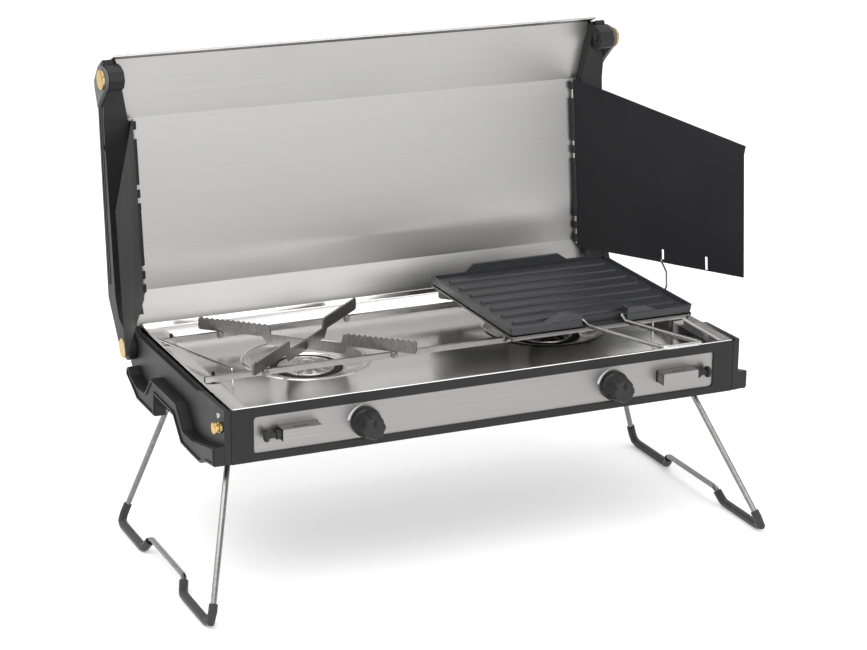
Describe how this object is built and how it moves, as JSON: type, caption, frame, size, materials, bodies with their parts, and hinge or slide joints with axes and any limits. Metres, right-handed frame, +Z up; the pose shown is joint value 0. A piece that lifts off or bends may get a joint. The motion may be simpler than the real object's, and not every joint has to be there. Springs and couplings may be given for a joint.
{
  "type": "camping stove",
  "caption": "Two-burner gas camping stove on folding wire legs, with an opening steel lid, hinged wind shields, toothed pot supports and a lift-off ribbed griddle with a wire handle.",
  "frame": {"origin": "floor level, under the centre of the plan bounding box of the whole stove as it stands open", "axes": "+X to the right of someone facing the controls, +Y towards the back, +Z up"},
  "size_m": [0.5796, 0.3918, 0.4051],
  "materials": {
    "steel": "fine brushed",
    "plate_steel": "satin",
    "grate_steel": "bare cut sheet",
    "black_paint": "fine matt",
    "shield_paint": "matt",
    "plastic": "fine texture",
    "rubber": "matt",
    "wire": "bright plated",
    "brass": "turned",
    "coating": "dark non-stick coating on cast aluminium"
  },
  "bodies": {
    "stove_body": {"base_pan": "black_paint", "front_panel": "black_paint", "control_plate": "plate_steel", "cooktop": "steel", "end_cap_left": "plastic", "end_cap_right": "plastic", "latch_stud_left": "brass", "burner_cup_left": "black_paint", "burner_cup_right": "black_paint", "burner_cap_left": "plate_steel", "burner_cap_right": "plate_steel", "venturi_left": "wire", "venturi_right": "wire", "valve_left": "brass", "valve_right": "brass", "gas_manifold": "brass", "gas_inlet": "brass", "igniter_housing_left": "plate_steel", "igniter_housing_right": "plate_steel", "leg_bracket_left": "black_paint", "leg_bracket_right": "black_paint", "lid_pivot_left": "brass", "lid_pivot_right": "brass"},
    "lid": {"lid_shell": "steel", "lid_cap_left": "plastic", "lid_cap_right": "plastic", "latch_rivet_left": "brass", "latch_rivet_right": "brass", "shield_pin_left": "wire", "shield_pin_right": "wire"},
    "latch_lever_left": {"latch_left": "black_paint"},
    "latch_lever_right": {"latch_right": "black_paint"},
    "wind_shield_left": {"shield_left": "shield_paint"},
    "wind_shield_right": {"shield_right": "shield_paint"},
    "grate": {"rail_front": "grate_steel", "rail_rear": "grate_steel", "pot_support_left_a": "grate_steel", "pot_support_left_b": "grate_steel", "pot_support_right_a": "grate_steel", "pot_support_right_b": "grate_steel"},
    "griddle_plate": {"griddle": "coating"},
    "griddle_bail": {"griddle_handle": "wire"},
    "leg_left": {"leg_wire_left": "wire", "foot_sleeve_front_left": "rubber", "foot_sleeve_rear_left": "rubber"},
    "leg_right": {"leg_wire_right": "wire", "foot_sleeve_front_right": "rubber", "foot_sleeve_rear_right": "rubber"},
    "control_left": {"knob_left": "plastic"},
    "control_right": {"knob_right": "plastic"},
    "button_left": {"igniter_button_left": "plastic"},
    "button_right": {"igniter_button_right": "plastic"},
    "prop_wire_left": {"prop_left": "wire"},
    "prop_wire_right": {"prop_right": "wire"}
  },
  "joints": [
    {"name": "lid_hinge", "type": "hinge", "parent": "stove_body", "child": "lid", "pos_m": [0, 0.13475, 0.15793], "axis": [1, 0, 0], "range_deg": [0, 9]},
    {"name": "latch_left_pivot", "type": "hinge", "parent": "lid", "child": "latch_lever_left", "pos_m": [-0.244, 0.16905, 0.38782], "axis": [1, 0, 0], "range_deg": [-110, 20]},
    {"name": "latch_right_pivot", "type": "hinge", "parent": "lid", "child": "latch_lever_right", "pos_m": [0.244, 0.16905, 0.38782], "axis": [1, 0, 0], "range_deg": [-110, 20]},
    {"name": "shield_left_hinge", "type": "hinge", "parent": "lid", "child": "wind_shield_left", "pos_m": [-0.214, 0.17825, 0.26982], "axis": [0, 0.1202, 0.9927], "range_deg": [0, 111]},
    {"name": "shield_right_hinge", "type": "hinge", "parent": "lid", "child": "wind_shield_right", "pos_m": [0.214, 0.17825, 0.26982], "axis": [0, 0.1202, 0.9927], "range_deg": [0, 3]},
    {"name": "grate_lift", "type": "slide", "parent": "stove_body", "child": "grate", "axis": [0, 0, 1], "range_m": [0, 0.04]},
    {"name": "griddle_lift", "type": "slide", "parent": "grate", "child": "griddle_plate", "axis": [0, 0, 1], "range_m": [0, 0.04]},
    {"name": "griddle_bail_hinge", "type": "hinge", "parent": "griddle_plate", "child": "griddle_bail", "pos_m": [0.1215, -0.05545, 0.19733], "axis": [1, 0, 0], "range_deg": [-160, 0]},
    {"name": "leg_left_hinge", "type": "hinge", "parent": "stove_body", "child": "leg_left", "pos_m": [-0.213, 0.02565, 0.12492], "axis": [0, 1, 0], "range_deg": [-109, 0]},
    {"name": "leg_right_hinge", "type": "hinge", "parent": "stove_body", "child": "leg_right", "pos_m": [0.213, 0.02565, 0.12492], "axis": [0, 1, 0], "range_deg": [0, 109]},
    {"name": "knob_left_spindle", "type": "hinge", "parent": "stove_body", "child": "control_left", "pos_m": [-0.1137, -0.09545, 0.14993], "axis": [0, 1, 0], "range_deg": [0, 150]},
    {"name": "knob_right_spindle", "type": "hinge", "parent": "stove_body", "child": "control_right", "pos_m": [0.1137, -0.09545, 0.14993], "axis": [0, 1, 0], "range_deg": [0, 150]},
    {"name": "button_left_push", "type": "slide", "parent": "stove_body", "child": "button_left", "axis": [1, 0, 0], "range_m": [0, 0.004], "stiffness_N_per_m": 150},
    {"name": "button_right_push", "type": "slide", "parent": "stove_body", "child": "button_right", "axis": [-1, 0, 0], "range_m": [0, 0.004], "stiffness_N_per_m": 150},
    {"name": "prop_left_pivot", "type": "hinge", "parent": "stove_body", "child": "prop_wire_left", "pos_m": [-0.197, -0.01145, 0.17933], "axis": [0, 0, 1], "range_deg": [-25, 0]},
    {"name": "prop_right_pivot", "type": "hinge", "parent": "stove_body", "child": "prop_wire_right", "pos_m": [0.197, -0.01145, 0.17933], "axis": [0, 0, 1], "range_deg": [0, 15]}
  ]
}
